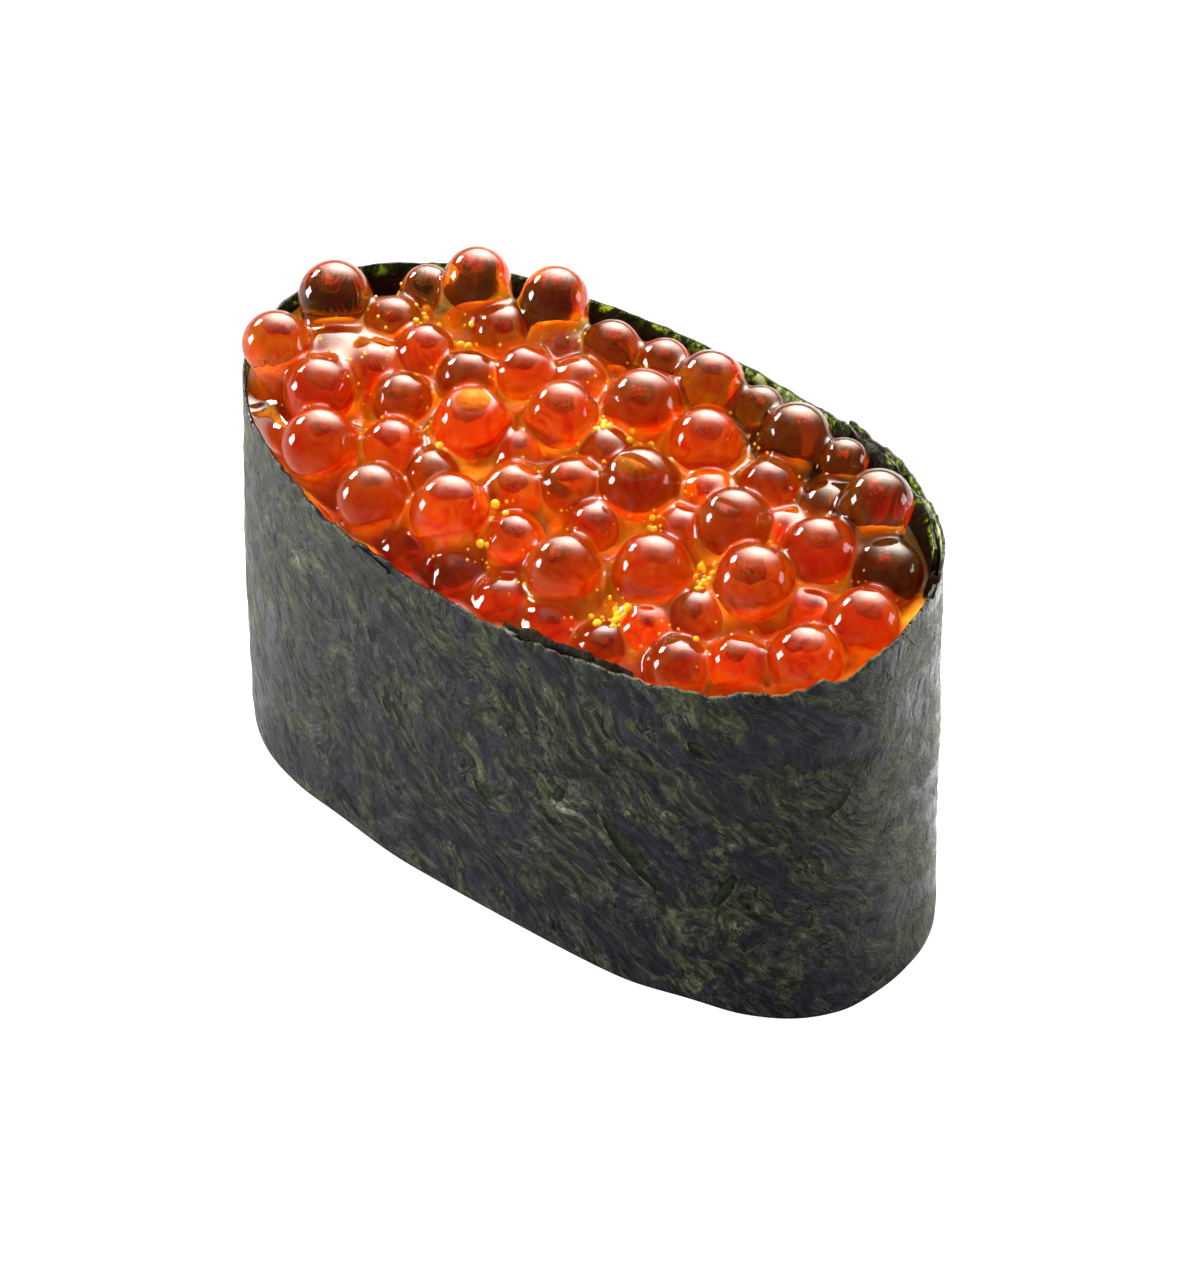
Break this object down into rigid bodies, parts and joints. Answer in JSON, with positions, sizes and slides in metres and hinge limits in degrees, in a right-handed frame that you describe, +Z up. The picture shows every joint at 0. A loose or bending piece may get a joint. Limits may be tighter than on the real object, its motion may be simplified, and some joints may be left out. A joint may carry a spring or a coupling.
{
  "type": "gunkan sushi",
  "caption": "Gunkan sushi: a band of dark nori stood on edge round pressed rice, its cup heaped with glossy orange salmon roe in syrup.",
  "frame": {"origin": "middle of the underside, on the surface that the sushi stands on", "axes": "+Z up, +X along the length towards the end nearer the viewer, +Y across the width towards the side with the higher rim"},
  "size_m": [0.0564, 0.0269, 0.0389],
  "materials": {
    "nori": "dry pressed seaweed, satin with fine fibres",
    "rice": "moist satin",
    "roe": "wet gloss, translucent"
  },
  "bodies": {
    "root": {"nori_band": "nori", "pressed_rice": "rice", "salmon_roe": "roe"}
  },
  "joints": []
}
